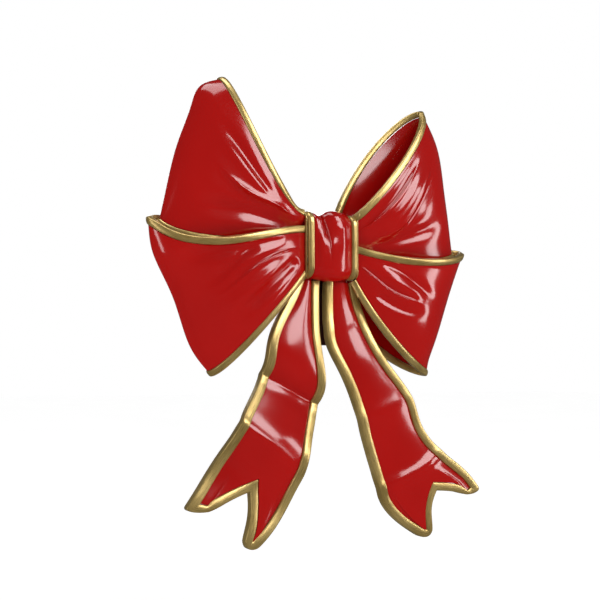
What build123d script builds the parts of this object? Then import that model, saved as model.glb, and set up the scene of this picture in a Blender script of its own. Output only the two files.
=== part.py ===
from build123d import *
import math
import os

import numpy as np

# Rigid wall bow in millimetres: moulded ribbon shells with gold rims on a timber core and
# a batten. The origin is the middle of the batten's back face, on the wall plane y = 0.
# +Z is up and the front of the bow faces -Y.

# ---- driving dimensions ----
SHELL = 5.0                # wall of the moulded loops
RIM_WIDE = 9.0             # width of the gold rims, measured along the ribbon's surface
RIM_THICK = 8.6            # thickness of the gold rims, through the ribbon
RIM_BEVEL = 2.4            # bevel on the rims' corners
RIM_GAP = 0.6              # filled bond line between a ribbon's edge and its rim
GLUE = 0.3                 # bond line between two other bonded pieces

TAIL_WALL = 6.0
TAIL_RIM_THICK = 12.0
TAIL_TILT = 27.0           # lean of each tail away from the vertical, degrees
TONGUE_REACH = 35.0        # distance of the left tongue's far side from the middle

BATTEN_HALF_WIDTH = 32.0
BATTEN_THICK = 18.0
BATTEN_TOP = 88.0
BATTEN_BOTTOM = -76.0
BATTEN_BEVEL = 2.0

BAND_HALF_WIDTH = 28.0     # lacquered part of the knot band, between its two rims
BAND_RIM_WIDE = 9.0
BAND_RIM_ROUND = 3.0
BAND_RIM_PROUD = 2.0       # how far the band's rims stand out past its edges
SHADOW_GAP = 2.4           # slot between the band's rims and the roots of the loops

CORE_HALF_WIDTH = BAND_HALF_WIDTH + GLUE + BAND_RIM_WIDE + SHADOW_GAP
CORE_BOTTOM = 14.5
CORE_TOP = 90.0
CORE_FRONT = 69.0          # distance of the core's front face from the wall
POCKET_PLAY = 0.5
POCKET_HALF_WIDTH = TONGUE_REACH + POCKET_PLAY   # pocket in the core for the tail tongues
POCKET_TOP = 46.0
POCKET_FLOOR = 50.0        # distance of the pocket's floor from the wall
TONGUE_MIDDLE = POCKET_FLOOR + GLUE + TAIL_WALL / 2
TONGUE_TOP = POCKET_TOP - 4.0
TAIL_TOP = CORE_BOTTOM - 8.5   # top of the tails' rims, under the core

BAND_PLAY = 1.0            # filled space between the band and the core's front
BAND_WALL = 5.0
BAND_EDGE = CORE_FRONT + BAND_PLAY + BAND_WALL   # from the wall to the band's front edges
BAND_BULGE = 9.0           # how far the middle of the band stands out past its edges
BAND_CORNER = 13.0         # outer corner radius of the band at its edges
LIP_PLAY = 1.7             # clearance between the tails' rims and the band's lower lip
BAND_LIP = TONGUE_MIDDLE + TAIL_RIM_THICK / 2 + LIP_PLAY

CORE_SCREW_R = 2.4
CORE_SCREW_HEAD_R = 4.8
CORE_SCREW_LENGTH = 45.0
CORE_SCREW_Z = (28.0, 76.0)
TAIL_SCREW_R = 2.0
TAIL_SCREW_HEAD_R = 4.0
TAIL_SCREW_HEAD = 2.4
TAIL_SCREW_HEAD_ROUND = 0.8
TAIL_SCREW_SEAT = 0.1      # clearance under the tail screws' heads
TAIL_SCREW_LENGTH = 20.0
TAIL_SCREW_Z = (22.0, 35.0)
SCREW_PLAY = 0.2

INSERT_R = 4.6             # threaded inserts for the M6 fixing bolts
INSERT_BORE_R = 3.1
INSERT_LENGTH = 14.0
FIXING_HALF_X = 22.0       # pattern of the inserts in the batten
FIXING_Z = (-58.0, 52.0)

MORE_THAN_ANY = 500.0      # reach of cutting and clipping shapes past the whole bow

ALONG = 37                 # points along a loop and across it in the moulded surfaces
ACROSS = 9
SKIN_TOLERANCE = 0.2
STRIP_POINTS = 8           # points along the inside edge of a tail's rim

# ---- loops ----
# Each rib runs from the knot down the front of the loop, round the fold and back behind it:
# its place across the ribbon (0 lower edge, 1 upper edge), then front root, two handles,
# fold, two handles and rear root. x is outward from the middle of the bow.
UPPER_LEFT = [
    (0.0, (40, -52, 68), (96, -80, 54), (206, -74, 44), (226, -48, 70),
     (238, -34, 84), (110, -38, 68), (40, -38, 66)),
    (0.25, (40, -55, 73), (92, -92, 68), (206, -84, 106), (217, -46, 116),
     (222, -28, 121), (110, -30, 98), (40, -32, 76)),
    (0.5, (40, -60, 79), (90, -100, 80), (196, -84, 152), (205, -46, 166),
     (210, -26, 172), (96, -20, 130), (40, -27, 88)),
    (0.78, (40, -64, 84), (88, -100, 88), (176, -82, 202), (186, -46, 222),
     (190, -28, 230), (84, -16, 156), (40, -24, 98)),
    (1.0, (40, -66, 88), (96, -94, 92), (152, -82, 244), (152, -46, 256),
     (152, -28, 262), (92, -16, 176), (40, -24, 104)),
]
LOWER_LEFT = [
    (0.0, (40, -66, 16), (74, -92, -22), (150, -78, -112), (160, -46, -112),
     (164, -30, -112), (76, -16, -20), (40, -22, 18)),
    (0.22, (40, -66, 27), (84, -102, -10), (182, -86, -74), (186, -46, -80),
     (188, -28, -80), (90, -14, 0), (40, -20, 30)),
    (0.5, (40, -66, 42), (92, -106, 10), (210, -86, -14), (213, -46, -20),
     (214, -26, -20), (100, -12, 22), (40, -17, 42)),
    (0.78, (40, -66, 56), (100, -106, 38), (226, -86, 20), (234, -46, 30),
     (238, -26, 34), (104, -10, 44), (40, -15, 54)),
    (1.0, (40, -66, 67), (110, -104, 54), (214, -92, 24), (240, -50, 60),
     (254, -26, 78), (104, -7, 60), (40, -15, 62)),
]
UPPER_RIGHT = [
    (0.0, (40, -52, 50), (104, -78, 38), (204, -74, 46), (214, -48, 62),
     (222, -34, 74), (104, -38, 60), (40, -38, 54)),
    (0.25, (40, -55, 60), (94, -92, 62), (200, -84, 98), (207, -46, 108),
     (212, -28, 114), (104, -30, 90), (40, -32, 70)),
    (0.5, (40, -60, 70), (86, -100, 84), (192, -84, 144), (200, -46, 158),
     (204, -26, 164), (94, -20, 124), (40, -27, 84)),
    (0.78, (40, -64, 80), (80, -100, 98), (180, -82, 196), (190, -46, 216),
     (194, -28, 224), (84, -16, 158), (40, -24, 98)),
    (1.0, (40, -66, 88), (70, -94, 104), (142, -82, 212), (160, -46, 250),
     (168, -28, 266), (90, -12, 196), (40, -24, 104)),
]
LOWER_RIGHT = [
    (0.0, (40, -66, 12), (58, -90, -50), (124, -80, -104), (156, -48, -114),
     (170, -30, -120), (96, -14, -92), (40, -22, 0)),
    (0.22, (40, -66, 19), (78, -100, -16), (168, -86, -72), (178, -46, -78),
     (182, -28, -80), (94, -14, -24), (40, -20, 20)),
    (0.5, (40, -66, 28), (88, -106, 8), (194, -86, -14), (200, -46, -20),
     (202, -26, -22), (98, -12, 14), (40, -17, 32)),
    (0.78, (40, -66, 38), (96, -106, 26), (212, -86, 20), (218, -46, 28),
     (220, -26, 30), (100, -10, 34), (40, -15, 42)),
    (1.0, (40, -66, 46), (104, -104, 26), (206, -92, 22), (226, -50, 52),
     (238, -26, 70), (104, -7, 48), (40, -15, 48)),
]
LOOPS = {
    "upper_left": (-1, UPPER_LEFT),
    "lower_left": (-1, LOWER_LEFT),
    "upper_right": (1, UPPER_RIGHT),
    "lower_right": (1, LOWER_RIGHT),
}
LOOP_ROOT = CORE_HALF_WIDTH + GLUE   # distance of the root faces from the middle of the bow


# ---- moulded surfaces ----
def spline_at(knots, values, x):
    """Natural cubic spline through values at the knots, evaluated at x."""
    knots = np.asarray(knots, float)
    values = np.asarray(values, float)
    rows = values.reshape(len(knots), -1)
    gaps = np.diff(knots)
    system = np.eye(len(knots))
    right = np.zeros_like(rows)
    for i in range(1, len(knots) - 1):
        system[i, i - 1:i + 2] = gaps[i - 1], 2 * (gaps[i - 1] + gaps[i]), gaps[i]
        slopes = np.diff(rows[i - 1:i + 2], axis=0) / gaps[i - 1:i + 1, None]
        right[i] = 6 * (slopes[1] - slopes[0])
    bend = np.linalg.solve(system, right)
    x = np.ravel(x)
    k = np.clip(np.searchsorted(knots, x) - 1, 0, len(knots) - 2)
    gap = gaps[k][:, None]
    after = (x - knots[k])[:, None]
    before = gap - after
    out = (bend[k] * before**3 + bend[k + 1] * after**3) / (6 * gap)
    out += (rows[k] / gap - bend[k] * gap / 6) * before
    out += (rows[k + 1] / gap - bend[k + 1] * gap / 6) * after
    return out.reshape((len(x),) + values.shape[1:])


def bezier(p, t):
    """Cubic Bezier curves with control points p[:, 0..3], at t."""
    t = t[:, None]
    ends = p[:, 0] * (1 - t)**3 + p[:, 3] * t**3
    return ends + 3 * p[:, 1] * t * (1 - t)**2 + 3 * p[:, 2] * t**2 * (1 - t)


def unit(a):
    return a / np.linalg.norm(a, axis=-1, keepdims=True)


def loop_point(loop, u, v):
    """Middle of a loop's wall: u runs 0..1 along the front and 1..2 back to the knot."""
    side, ribs = loop
    u, v = np.broadcast_arrays(np.asarray(u, float), np.asarray(v, float))
    rails = spline_at([rib[0] for rib in ribs], [rib[1:] for rib in ribs], v)
    front = bezier(rails[:, 0:4], np.clip(u.ravel(), 0, 1))
    back = bezier(rails[:, 3:7], np.clip(u.ravel() - 1, 0, 1))
    points = np.where((u.ravel() <= 1)[:, None], front, back) * [side, 1, 1]
    return points.reshape(u.shape + (3,))


def loop_frame(loop, u, v):
    """Point, direction along the ribbon and outward normal of a loop's wall."""
    step = 1e-3
    u, v = np.broadcast_arrays(np.asarray(u, float), np.asarray(v, float))
    ahead = loop_point(loop, np.clip(u + step, 0, 2), v)
    along = unit(ahead - loop_point(loop, np.clip(u - step, 0, 2), v))
    above = loop_point(loop, u, np.clip(v + step, 0, 1))
    across = above - loop_point(loop, u, np.clip(v - step, 0, 1))
    normal = unit(np.cross(along, across)) * loop[0]
    return loop_point(loop, u, v), along, -normal


def square_roots(points, along, side):
    """Slide the first and last rows along the ribbon onto the plane of the root faces."""
    for row in (0, -1):
        slide = (side * LOOP_ROOT - points[row][..., 0]) / along[row][..., 0]
        points[row] = points[row] + along[row] * slide[..., None]
    return points


def as_tuples(points):
    return [tuple(float(c) for c in p) for p in points]


def skin(grid):
    """Smooth face through a grid of points."""
    rows = [as_tuples(row) for row in grid]
    return Face.make_surface_from_array_of_points(rows, tol=SKIN_TOLERANCE, min_deg=3, max_deg=3)


def wall_between(first, second):
    """Closed solid between two grids of the same size."""
    top = skin(first)
    bottom = skin(second)
    faces = [top, bottom]
    others = list(bottom.edges())
    for edge in top.edges():
        mate = min(others, key=lambda other: (other @ 0.5 - edge @ 0.5).length)
        others.remove(mate)
        faces.append(Face.make_surface_from_curves(edge, mate))
    return Solid(Shell(faces))


def bar_along(corners):
    """Closed solid whose long edges are smooth curves through the rows of corner points."""
    edges = [Edge.make_spline(as_tuples(row)) for row in corners]
    faces = []
    for here, there in zip(edges, edges[1:] + edges[:1]):
        faces.append(Face.make_surface_from_curves(here, there))
    for end in (0, -1):
        faces.append(Face(Wire.make_polygon(as_tuples([row[end] for row in corners]))))
    return Solid(Shell(faces))


def loop_shell(loop):
    u, v = np.meshgrid(np.linspace(0, 2, ALONG), np.linspace(0, 1, ACROSS), indexing="ij")
    middle, along, normal = loop_frame(loop, u, v)
    outer = square_roots(middle + normal * SHELL / 2, along, loop[0])
    inner = square_roots(middle - normal * SHELL / 2, along, loop[0])
    return wall_between(outer, inner)


def rim_section():
    """Corners of the rim's bevelled section: (out from the ribbon's edge, through it)."""
    near = RIM_GAP
    far = RIM_GAP + RIM_WIDE
    half = RIM_THICK / 2
    cut = RIM_BEVEL
    return [(near, cut - half), (near, half - cut), (near + cut, half), (far - cut, half),
            (far, half - cut), (far, cut - half), (far - cut, -half), (near + cut, -half)]


def loop_rim(loop, edge):
    """Gold rim along one edge of a loop: edge is 0 for the lower and 1 for the upper one."""
    u = np.linspace(0, 2, ALONG)
    middle, along, normal = loop_frame(loop, u, edge)
    inside = loop_point(loop, u, 0.01 + 0.98 * edge)
    out = unit(np.cross(along, normal))
    out *= np.sign(np.sum(out * (middle - inside), axis=1, keepdims=True))
    rows = [square_roots(middle + out * a + normal * b, along, loop[0]) for a, b in rim_section()]
    return bar_along(rows)


def build_loops():
    parts = {}
    for name, loop in LOOPS.items():
        parts[f"{name}_loop"] = loop_shell(loop)
        parts[f"{name}_loop_lower_rim"] = loop_rim(loop, 0)
        parts[f"{name}_loop_upper_rim"] = loop_rim(loop, 1)
    return parts


# ---- tails ----
# Outlines at the outside of the gold rim, as (x, z) seen from the front: one edge from the
# knot down, its foot corner, the notch, the other foot corner and the other edge back up.
LEFT_TAIL = {
    "side": -1,
    "tongue": (-TONGUE_REACH, -22.5),
    "outer": [(-45, 10), (-60, -17), (-80, -46), (-95, -80), (-99, -112), (-112, -134),
              (-139, -166), (-160, -200), (-186, -236), (-215, -271)],
    "foot": [(-190, -275), (-160, -266), (-128, -256), (-131, -288), (-136, -322)],
    "inner": [(-124, -323), (-104, -307), (-78, -279), (-60, -246), (-46, -208), (-28, -174),
              (-15, -140), (-15, -110), (-18, -66), (-15, -28), (-11, 10)],
}
RIGHT_TAIL = {
    "side": 1,
    "tongue": (9.0, 30.0),
    "outer": [(45, 10), (48, -14), (56, -49), (74, -89), (98, -122), (117, -152), (129, -184),
              (157, -218), (196, -247), (220, -274)],
    "foot": [(208, -279), (178, -275), (146, -271), (136, -296), (132, -330)],
    "inner": [(119, -330), (85, -308), (62, -282), (51, -244), (37, -196), (23, -142),
              (9, -108), (-3, -78), (-4, -40), (-1, 10)],
}
FOOT_ROUND = 5.0
# How far a tail's middle stands out past its flat tongue, by distance down its own axis.
WAVES = [(0, 0), (36, 5.7), (75, 15.7), (105, 19.7), (132, 13.7), (161, 17.7), (192, 29.7),
         (224, 33.7), (257, 27.7), (292, 33.7), (331, 44.7), (385, 41.7)]
WAVE_END_SLOPE = -0.1


def edge_strip(edge, side, wide):
    """Strip of the given width along the inside of one edge of a tail."""
    rows = []
    for out in (-RIM_WIDE, wide):
        row = []
        for t in np.linspace(0, 1, STRIP_POINTS):
            run = (edge % t).normalized()
            inward = Vector(run.Y, -run.X) * side
            row.append((edge @ t) + inward * out)
        rows.append(row)
    ends = [Line(rows[0][i], rows[1][i]) for i in (0, -1)]
    return make_face([Spline(*rows[0]), Spline(*rows[1]), *ends])


def tail_outline(tail, inset=0.0):
    """Face of a tail's outline in the XZ plane, drawn in by inset."""
    heel, notch, toe = tail["outer"][-1], tail["foot"][2], tail["inner"][0]
    sides = [Spline(*tail["outer"]), Spline(heel, *tail["foot"][0:2], notch)]
    sides += [Spline(notch, *tail["foot"][3:], toe), Spline(*tail["inner"])]
    face = make_face([*sides, Line(tail["inner"][-1], tail["outer"][0])])
    if inset:
        for edge in sides:
            face -= edge_strip(edge.edge(), tail["side"], inset)
        return face - Pos(*notch) * Circle(inset)
    tips = [v for v in face.vertices() if (v.X, v.Y) in (heel, toe)]
    return fillet(tips, FOOT_ROUND)


def tail_slab(side, thick):
    """Wavy layer of the given thickness that a tail is cut from."""
    tilt = math.radians(TAIL_TILT)
    axis = (side * math.sin(tilt), 0, -math.cos(tilt))
    cross = (-math.cos(tilt), 0, -side * math.sin(tilt))
    plane = Plane(origin=(0, 0, 0), x_dir=axis, z_dir=cross)
    edges = []
    for shift in (-thick / 2, thick / 2):
        waves = [(s, TONGUE_MIDDLE + d + shift) for s, d in WAVES]
        begin = (-TONGUE_TOP * 2, waves[0][1])
        flow = Spline(*waves, tangents=[(1, 0), (1, WAVE_END_SLOPE)])
        edges.append([Line(begin, waves[0]), flow])
    low, high = edges
    caps = [Line(low[0] @ 0, high[0] @ 0), Line(low[1] @ 1, high[1] @ 1)]
    return extrude(plane * make_face([*low, *high, *caps]), MORE_THAN_ANY / 2, both=True)


def prism(face):
    """Prism from the wall plane forwards over an outline drawn in the XZ plane."""
    return extrude(Plane.XZ * face, MORE_THAN_ANY / 2)


def above(z):
    return Pos(0, 0, z + MORE_THAN_ANY / 2) * Box(MORE_THAN_ANY * 2, MORE_THAN_ANY * 2, MORE_THAN_ANY)


def build_tail(tail):
    """Lacquered panel of a tail and the gold rim round it."""
    rim = prism(tail_outline(tail)) - prism(tail_outline(tail, RIM_WIDE)) - above(TAIL_TOP)
    left, right = tail["tongue"]
    tongue = Pos((left + right) / 2, TONGUE_TOP / 2) * Rectangle(right - left, TONGUE_TOP)
    panel = prism(tail_outline(tail, RIM_WIDE + RIM_GAP)) - above(TAIL_TOP) + prism(tongue)
    panel = panel & tail_slab(tail["side"], TAIL_WALL)
    rim = rim & tail_slab(tail["side"], TAIL_RIM_THICK)
    return panel, rim


# ---- knot ----
def band_section(x, grow, inner=False):
    """Wire of the knot band's section at x, from the batten round the front."""
    front = CORE_FRONT + BAND_PLAY if inner else BAND_EDGE + grow
    low = CORE_BOTTOM - GLUE if inner else CORE_BOTTOM - GLUE - BAND_WALL - grow / 2
    high = CORE_TOP + GLUE if inner else CORE_TOP + GLUE + BAND_WALL + grow / 2
    rear = BATTEN_THICK + GLUE
    corner = BAND_CORNER - BAND_WALL if inner else BAND_CORNER
    plane = Plane(origin=(x, 0, 0), x_dir=(0, -1, 0), z_dir=(-1, 0, 0))
    face = Pos((front + rear) / 2, (low + high) / 2) * Rectangle(front - rear, high - low)
    fronts = face.vertices().sort_by(Axis.X)[-2:]
    return plane * fillet(fronts, corner)


def cavity(half_width):
    return extrude(band_section(-half_width, 0, inner=True), 2 * half_width, dir=(1, 0, 0))


def under_lip():
    """Space under the core where the tails come out behind the band's lower lip."""
    top = CORE_BOTTOM
    deep = BAND_LIP - BATTEN_THICK
    box = Box(MORE_THAN_ANY, deep, MORE_THAN_ANY)
    return Pos(0, -BATTEN_THICK - deep / 2, top - MORE_THAN_ANY / 2) * box


def build_knot():
    half = BAND_HALF_WIDTH
    sections = [band_section(x, grow) for x, grow in ((-half, 0), (0, BAND_BULGE), (half, 0))]
    band = loft(sections) - cavity(half + 1) - under_lip()
    parts = {"knot_band": band}
    for name, side in (("left", -1), ("right", 1)):
        start = side * (half + GLUE)
        ring = extrude(band_section(start, BAND_RIM_PROUD), BAND_RIM_WIDE, dir=(side, 0, 0))
        rims = [e for e in ring.edges() if abs(e.center().Y) > BATTEN_THICK + 1]
        rims = [e for e in rims if abs((e @ 0).X - (e @ 1).X) < 0.1]
        ring = fillet(rims, BAND_RIM_ROUND) - cavity(MORE_THAN_ANY) - under_lip()
        parts[f"knot_{name}_rim"] = ring
    return parts


# ---- hidden structure ----
def tongue_middle(tail):
    return sum(tail["tongue"]) / 2


def core_screw_holes(play):
    """Countersunk screws, or their holes, from the wall side through batten and core."""
    length = CORE_SCREW_LENGTH + play
    shank = Cylinder(CORE_SCREW_R + play, length, align=(Align.CENTER, Align.CENTER, Align.MIN))
    depth = CORE_SCREW_HEAD_R - CORE_SCREW_R
    head = Cone(CORE_SCREW_HEAD_R + play, CORE_SCREW_R + play, depth,
                align=(Align.CENTER, Align.CENTER, Align.MIN))
    screw = Rot(90, 0, 0) * (shank + head)
    return [Pos(0, -GLUE, z) * screw for z in CORE_SCREW_Z]


def tail_screws(play):
    """Pan-head screws, or their pilot holes, through the tail tongues into the core."""
    screws = []
    seat = POCKET_FLOOR + GLUE + TAIL_WALL
    for tail in (LEFT_TAIL, RIGHT_TAIL):
        for z in TAIL_SCREW_Z:
            shank = Cylinder(TAIL_SCREW_R + play, TAIL_SCREW_LENGTH + play,
                             align=(Align.CENTER, Align.CENTER, Align.MIN))
            screw = Rot(-90, 0, 0) * shank
            if not play:
                head = Cylinder(TAIL_SCREW_HEAD_R, TAIL_SCREW_HEAD,
                                align=(Align.CENTER, Align.CENTER, Align.MIN))
                rim = head.edges().sort_by(Axis.Z)[-1]
                screw += Rot(90, 0, 0) * fillet(rim, TAIL_SCREW_HEAD_ROUND)
            screws.append(Pos(tongue_middle(tail), -seat - TAIL_SCREW_SEAT, z) * screw)
    return screws


def insert_places():
    return [(x, z) for x in (-FIXING_HALF_X, FIXING_HALF_X) for z in FIXING_Z]


def rod(radius, length, x, z):
    """Plain cylinder from the wall plane forwards."""
    body = Cylinder(radius, length, align=(Align.CENTER, Align.CENTER, Align.MIN))
    return Pos(x, 0, z) * Rot(90, 0, 0) * body


def build_core():
    high = CORE_TOP - CORE_BOTTOM
    deep = CORE_FRONT - BATTEN_THICK - GLUE
    core = Box(2 * CORE_HALF_WIDTH, deep, high)
    core = Pos(0, -BATTEN_THICK - GLUE - deep / 2, CORE_BOTTOM + high / 2) * core
    front = [e for e in core.edges().filter_by(Axis.X) if abs(e.center().Y) > CORE_FRONT - 1]
    core = fillet(front, BAND_CORNER - BAND_WALL)
    tall = POCKET_TOP - CORE_BOTTOM + 1
    pocket = Box(2 * POCKET_HALF_WIDTH, MORE_THAN_ANY, tall)
    core -= Pos(0, -POCKET_FLOOR - MORE_THAN_ANY / 2, POCKET_TOP - tall / 2) * pocket
    for hole in core_screw_holes(SCREW_PLAY) + tail_screws(SCREW_PLAY):
        core -= hole
    return core


def build_batten():
    high = BATTEN_TOP - BATTEN_BOTTOM
    batten = Box(2 * BATTEN_HALF_WIDTH, BATTEN_THICK, high)
    batten = Pos(0, -BATTEN_THICK / 2, BATTEN_BOTTOM + high / 2) * batten
    batten = chamfer(batten.edges().filter_by(Axis.Z), BATTEN_BEVEL)
    for hole in core_screw_holes(SCREW_PLAY):
        batten -= hole
    for x, z in insert_places():
        batten -= rod(INSERT_R + SCREW_PLAY, INSERT_LENGTH + SCREW_PLAY, x, z)
    return batten


def build_inserts():
    inserts = []
    for x, z in insert_places():
        inserts.append(rod(INSERT_R, INSERT_LENGTH, x, z) - rod(INSERT_BORE_R, INSERT_LENGTH, x, z))
    return inserts


def build_all():
    parts = build_loops()
    for name, tail in (("left", LEFT_TAIL), ("right", RIGHT_TAIL)):
        panel, rim = build_tail(tail)
        for hole in tail_screws(SCREW_PLAY):
            panel -= hole
        parts[f"{name}_tail"] = panel
        parts[f"{name}_tail_rim"] = rim
    parts.update(build_knot())
    parts["core_block"] = build_core()
    parts["mounting_batten"] = build_batten()
    parts["core_screws"] = Compound(children=core_screw_holes(0))
    parts["tail_screws"] = Compound(children=tail_screws(0))
    parts["fixing_inserts"] = Compound(children=build_inserts())
    return parts


if __name__ == "__main__":
    os.makedirs("parts", exist_ok=True)
    for node, shape in build_all().items():
        shape.label = node
        export_step(shape, f"parts/{node}.step")
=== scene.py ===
import math

import bpy
import numpy as np
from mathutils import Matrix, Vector


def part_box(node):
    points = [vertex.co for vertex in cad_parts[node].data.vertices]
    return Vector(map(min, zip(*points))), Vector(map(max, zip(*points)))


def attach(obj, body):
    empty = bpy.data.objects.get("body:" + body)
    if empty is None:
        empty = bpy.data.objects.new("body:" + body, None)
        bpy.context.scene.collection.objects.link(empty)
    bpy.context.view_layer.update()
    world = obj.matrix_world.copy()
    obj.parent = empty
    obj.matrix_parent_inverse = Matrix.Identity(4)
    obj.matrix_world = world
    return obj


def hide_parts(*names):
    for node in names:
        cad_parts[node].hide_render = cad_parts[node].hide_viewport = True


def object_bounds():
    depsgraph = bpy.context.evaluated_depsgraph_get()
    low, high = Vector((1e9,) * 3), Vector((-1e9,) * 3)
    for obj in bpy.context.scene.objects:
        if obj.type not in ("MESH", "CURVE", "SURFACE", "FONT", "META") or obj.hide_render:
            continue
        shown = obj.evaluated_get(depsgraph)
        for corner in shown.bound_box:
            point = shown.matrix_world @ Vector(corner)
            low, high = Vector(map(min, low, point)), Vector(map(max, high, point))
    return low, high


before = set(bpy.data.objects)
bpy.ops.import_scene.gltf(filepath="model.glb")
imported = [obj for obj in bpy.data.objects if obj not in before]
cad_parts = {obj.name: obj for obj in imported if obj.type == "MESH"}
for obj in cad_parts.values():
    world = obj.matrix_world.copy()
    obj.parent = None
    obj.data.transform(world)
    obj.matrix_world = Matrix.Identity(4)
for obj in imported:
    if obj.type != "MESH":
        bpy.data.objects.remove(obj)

# Red lacquered wall bow with brushed gold rims. Lengths in the tables are millimetres, as in
# the CAD model, and become metres where a mesh is made. The front of the bow faces -Y.

cad_low, cad_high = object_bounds()
MM = 0.001

# ---- sizes of the bow ----
SHELL = 5.0
RIM_WIDE = 9.0
RIM_THICK = 8.6
RIM_ROUND = 1.9
RIM_GAP = 0.5
LOOP_ROOT = 40.0
TAIL_WALL = 6.0
TAIL_RIM_THICK = 12.0
TAIL_RIM_WIDE = 11.0       # wider than the CAD model's, as seen from the front
TAIL_CROWN = 3.4
TAIL_TOP = 6.0
TAIL_PANEL_TOP = 42.0
TAIL_TILT = math.radians(27.0)
BAND_HALF_WIDTH = 28.0
BAND_WALL = 5.0
BAND_THINNEST = 1.8        # what is left of the band's wall under its deepest fold
BAND_CLEAR = 0.6           # how much thinner than its full wall the band is elsewhere
KNOT_INSIDE = (0, -45, 50)
BAND_BULGE = 9.0
BAND_CORNER = 15.0         # outer radius of the band's path at the knot's front edges
BAND_LIP = 61.0            # where the band ends under the knot, from the wall
BAND_GROWS_DOWN = 0.42     # share of the bulge that also goes to the top and the bottom
BAND_RIM_PROUD = 2.0
PIPING_WIDE = 1.8
PIPING_TALL = 4.4
PIPING_CORNER = 9.0
PIPING_START = 20.0        # distances from the wall where the piping starts and ends
PIPING_END = 61.5
PIPING_GAP = 0.1           # between the piping and the loops' roots

# ---- detail of the visible surfaces ----
LOOP_STEPS = 170           # grid steps along a loop and across it
LOOP_ROWS = 96
TAIL_STEPS = 220
TAIL_ROWS = 48
BAND_STEPS = 180
BAND_ROWS = 90
PIPING_STEPS = 120
EDGE_CALM = 0.07           # share of a ribbon next to its rims where the folds die away
ROOT_PINCH = 0.35          # how narrow a fold of a loop is at the knot
FOLD_STARTS = 0.22         # shares of a fold's length over which it rises and dies away
FOLD_ENDS = 0.4
BAND_ROUNDING = 6          # rounds of smoothing along the knot's band
BAND_CALM = 5.0            # width beside the knot's rims where the folds die away

# ---- floor and camera, in metres ----
FLOOR_HALF = 14.0
FLOOR_DROP = 0.14          # how far below the bow the floor lies
CAMERA_PLACE = (-0.5864, -1.0422, -0.1185)
CAMERA_AZIMUTH = math.radians(29)
CAMERA_RISE = math.radians(5)

# The ribs follow the CAD model's, with rounder folds at the corners of the loops.
# Each rib runs from the knot down the front of the loop, round the fold and back behind it:
# its place across the ribbon (0 lower edge, 1 upper edge), then front root, two handles,
# fold, two handles and rear root. x is outward from the middle of the bow.
UPPER_LEFT = [
    (0.0, (40, -52, 68), (96, -80, 54), (206, -74, 44), (226, -48, 70),
     (238, -34, 84), (110, -38, 68), (40, -38, 66)),
    (0.25, (40, -55, 73), (92, -92, 68), (206, -84, 106), (217, -46, 116),
     (222, -28, 121), (110, -30, 98), (40, -32, 76)),
    (0.5, (40, -60, 79), (90, -100, 80), (196, -84, 152), (205, -46, 166),
     (210, -26, 172), (96, -20, 130), (40, -27, 88)),
    (0.78, (40, -64, 84), (88, -100, 88), (176, -82, 202), (186, -46, 222),
     (190, -28, 230), (84, -16, 156), (40, -24, 98)),
    (0.92, (40, -66, 87), (93, -96, 91), (166, -82, 232), (173, -46, 247),
     (176, -28, 254), (88, -16, 168), (40, -24, 102)),
    (1.0, (40, -66, 88), (96, -94, 92), (152, -82, 244), (154, -46, 256),
     (155, -28, 262), (92, -16, 176), (40, -24, 104)),
]
LOWER_LEFT = [
    (0.0, (40, -66, 19), (81, -92, -20), (157, -78, -108), (163, -46, -110),
     (166, -30, -111), (78, -16, -18), (40, -22, 19)),
    (0.22, (40, -66, 27), (84, -102, -10), (182, -86, -74), (186, -46, -80),
     (188, -28, -80), (90, -14, 0), (40, -20, 30)),
    (0.5, (40, -66, 42), (92, -106, 10), (206, -86, -16), (208, -46, -22),
     (209, -26, -25), (100, -12, 22), (40, -17, 42)),
    (0.78, (40, -66, 56), (100, -106, 38), (226, -86, 20), (234, -46, 30),
     (238, -26, 34), (104, -10, 44), (40, -15, 54)),
    (1.0, (40, -66, 67), (118, -104, 54), (198, -92, 14), (239, -50, 60),
     (258, -26, 82), (104, -7, 60), (40, -15, 62)),
]
UPPER_RIGHT = [
    (0.0, (40, -52, 50), (104, -78, 38), (204, -74, 46), (214, -48, 62),
     (222, -34, 74), (104, -38, 60), (40, -38, 54)),
    (0.25, (40, -55, 60), (94, -92, 62), (200, -84, 98), (207, -46, 108),
     (212, -28, 114), (104, -30, 90), (40, -32, 70)),
    (0.5, (40, -60, 70), (86, -100, 84), (192, -84, 144), (200, -46, 158),
     (204, -26, 164), (94, -20, 124), (40, -27, 84)),
    (0.78, (40, -64, 80), (80, -100, 98), (180, -82, 196), (190, -46, 216),
     (194, -28, 224), (86, -16, 160), (40, -24, 92)),
    (1.0, (40, -66, 88), (54, -94, 98), (163, -82, 220), (170, -46, 254),
     (173, -28, 271), (93, -12, 212), (40, -24, 100)),
]
LOWER_RIGHT = [
    (0.0, (40, -66, 12), (64, -90, -56), (128, -80, -98), (167, -48, -108),
     (186, -30, -113), (94, -14, -95), (40, -22, 0)),
    (0.22, (40, -66, 19), (78, -100, -16), (168, -86, -72), (178, -46, -78),
     (182, -28, -80), (94, -14, -24), (40, -20, 20)),
    (0.5, (40, -66, 28), (88, -106, 8), (194, -86, -14), (200, -46, -20),
     (202, -26, -22), (98, -12, 14), (40, -17, 32)),
    (0.78, (40, -66, 38), (96, -106, 26), (212, -86, 20), (218, -46, 28),
     (220, -26, 30), (100, -10, 34), (40, -15, 42)),
    (1.0, (40, -66, 46), (97, -104, 22), (205, -92, 34), (229, -50, 53),
     (241, -26, 64), (104, -7, 48), (40, -15, 48)),
]

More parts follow.
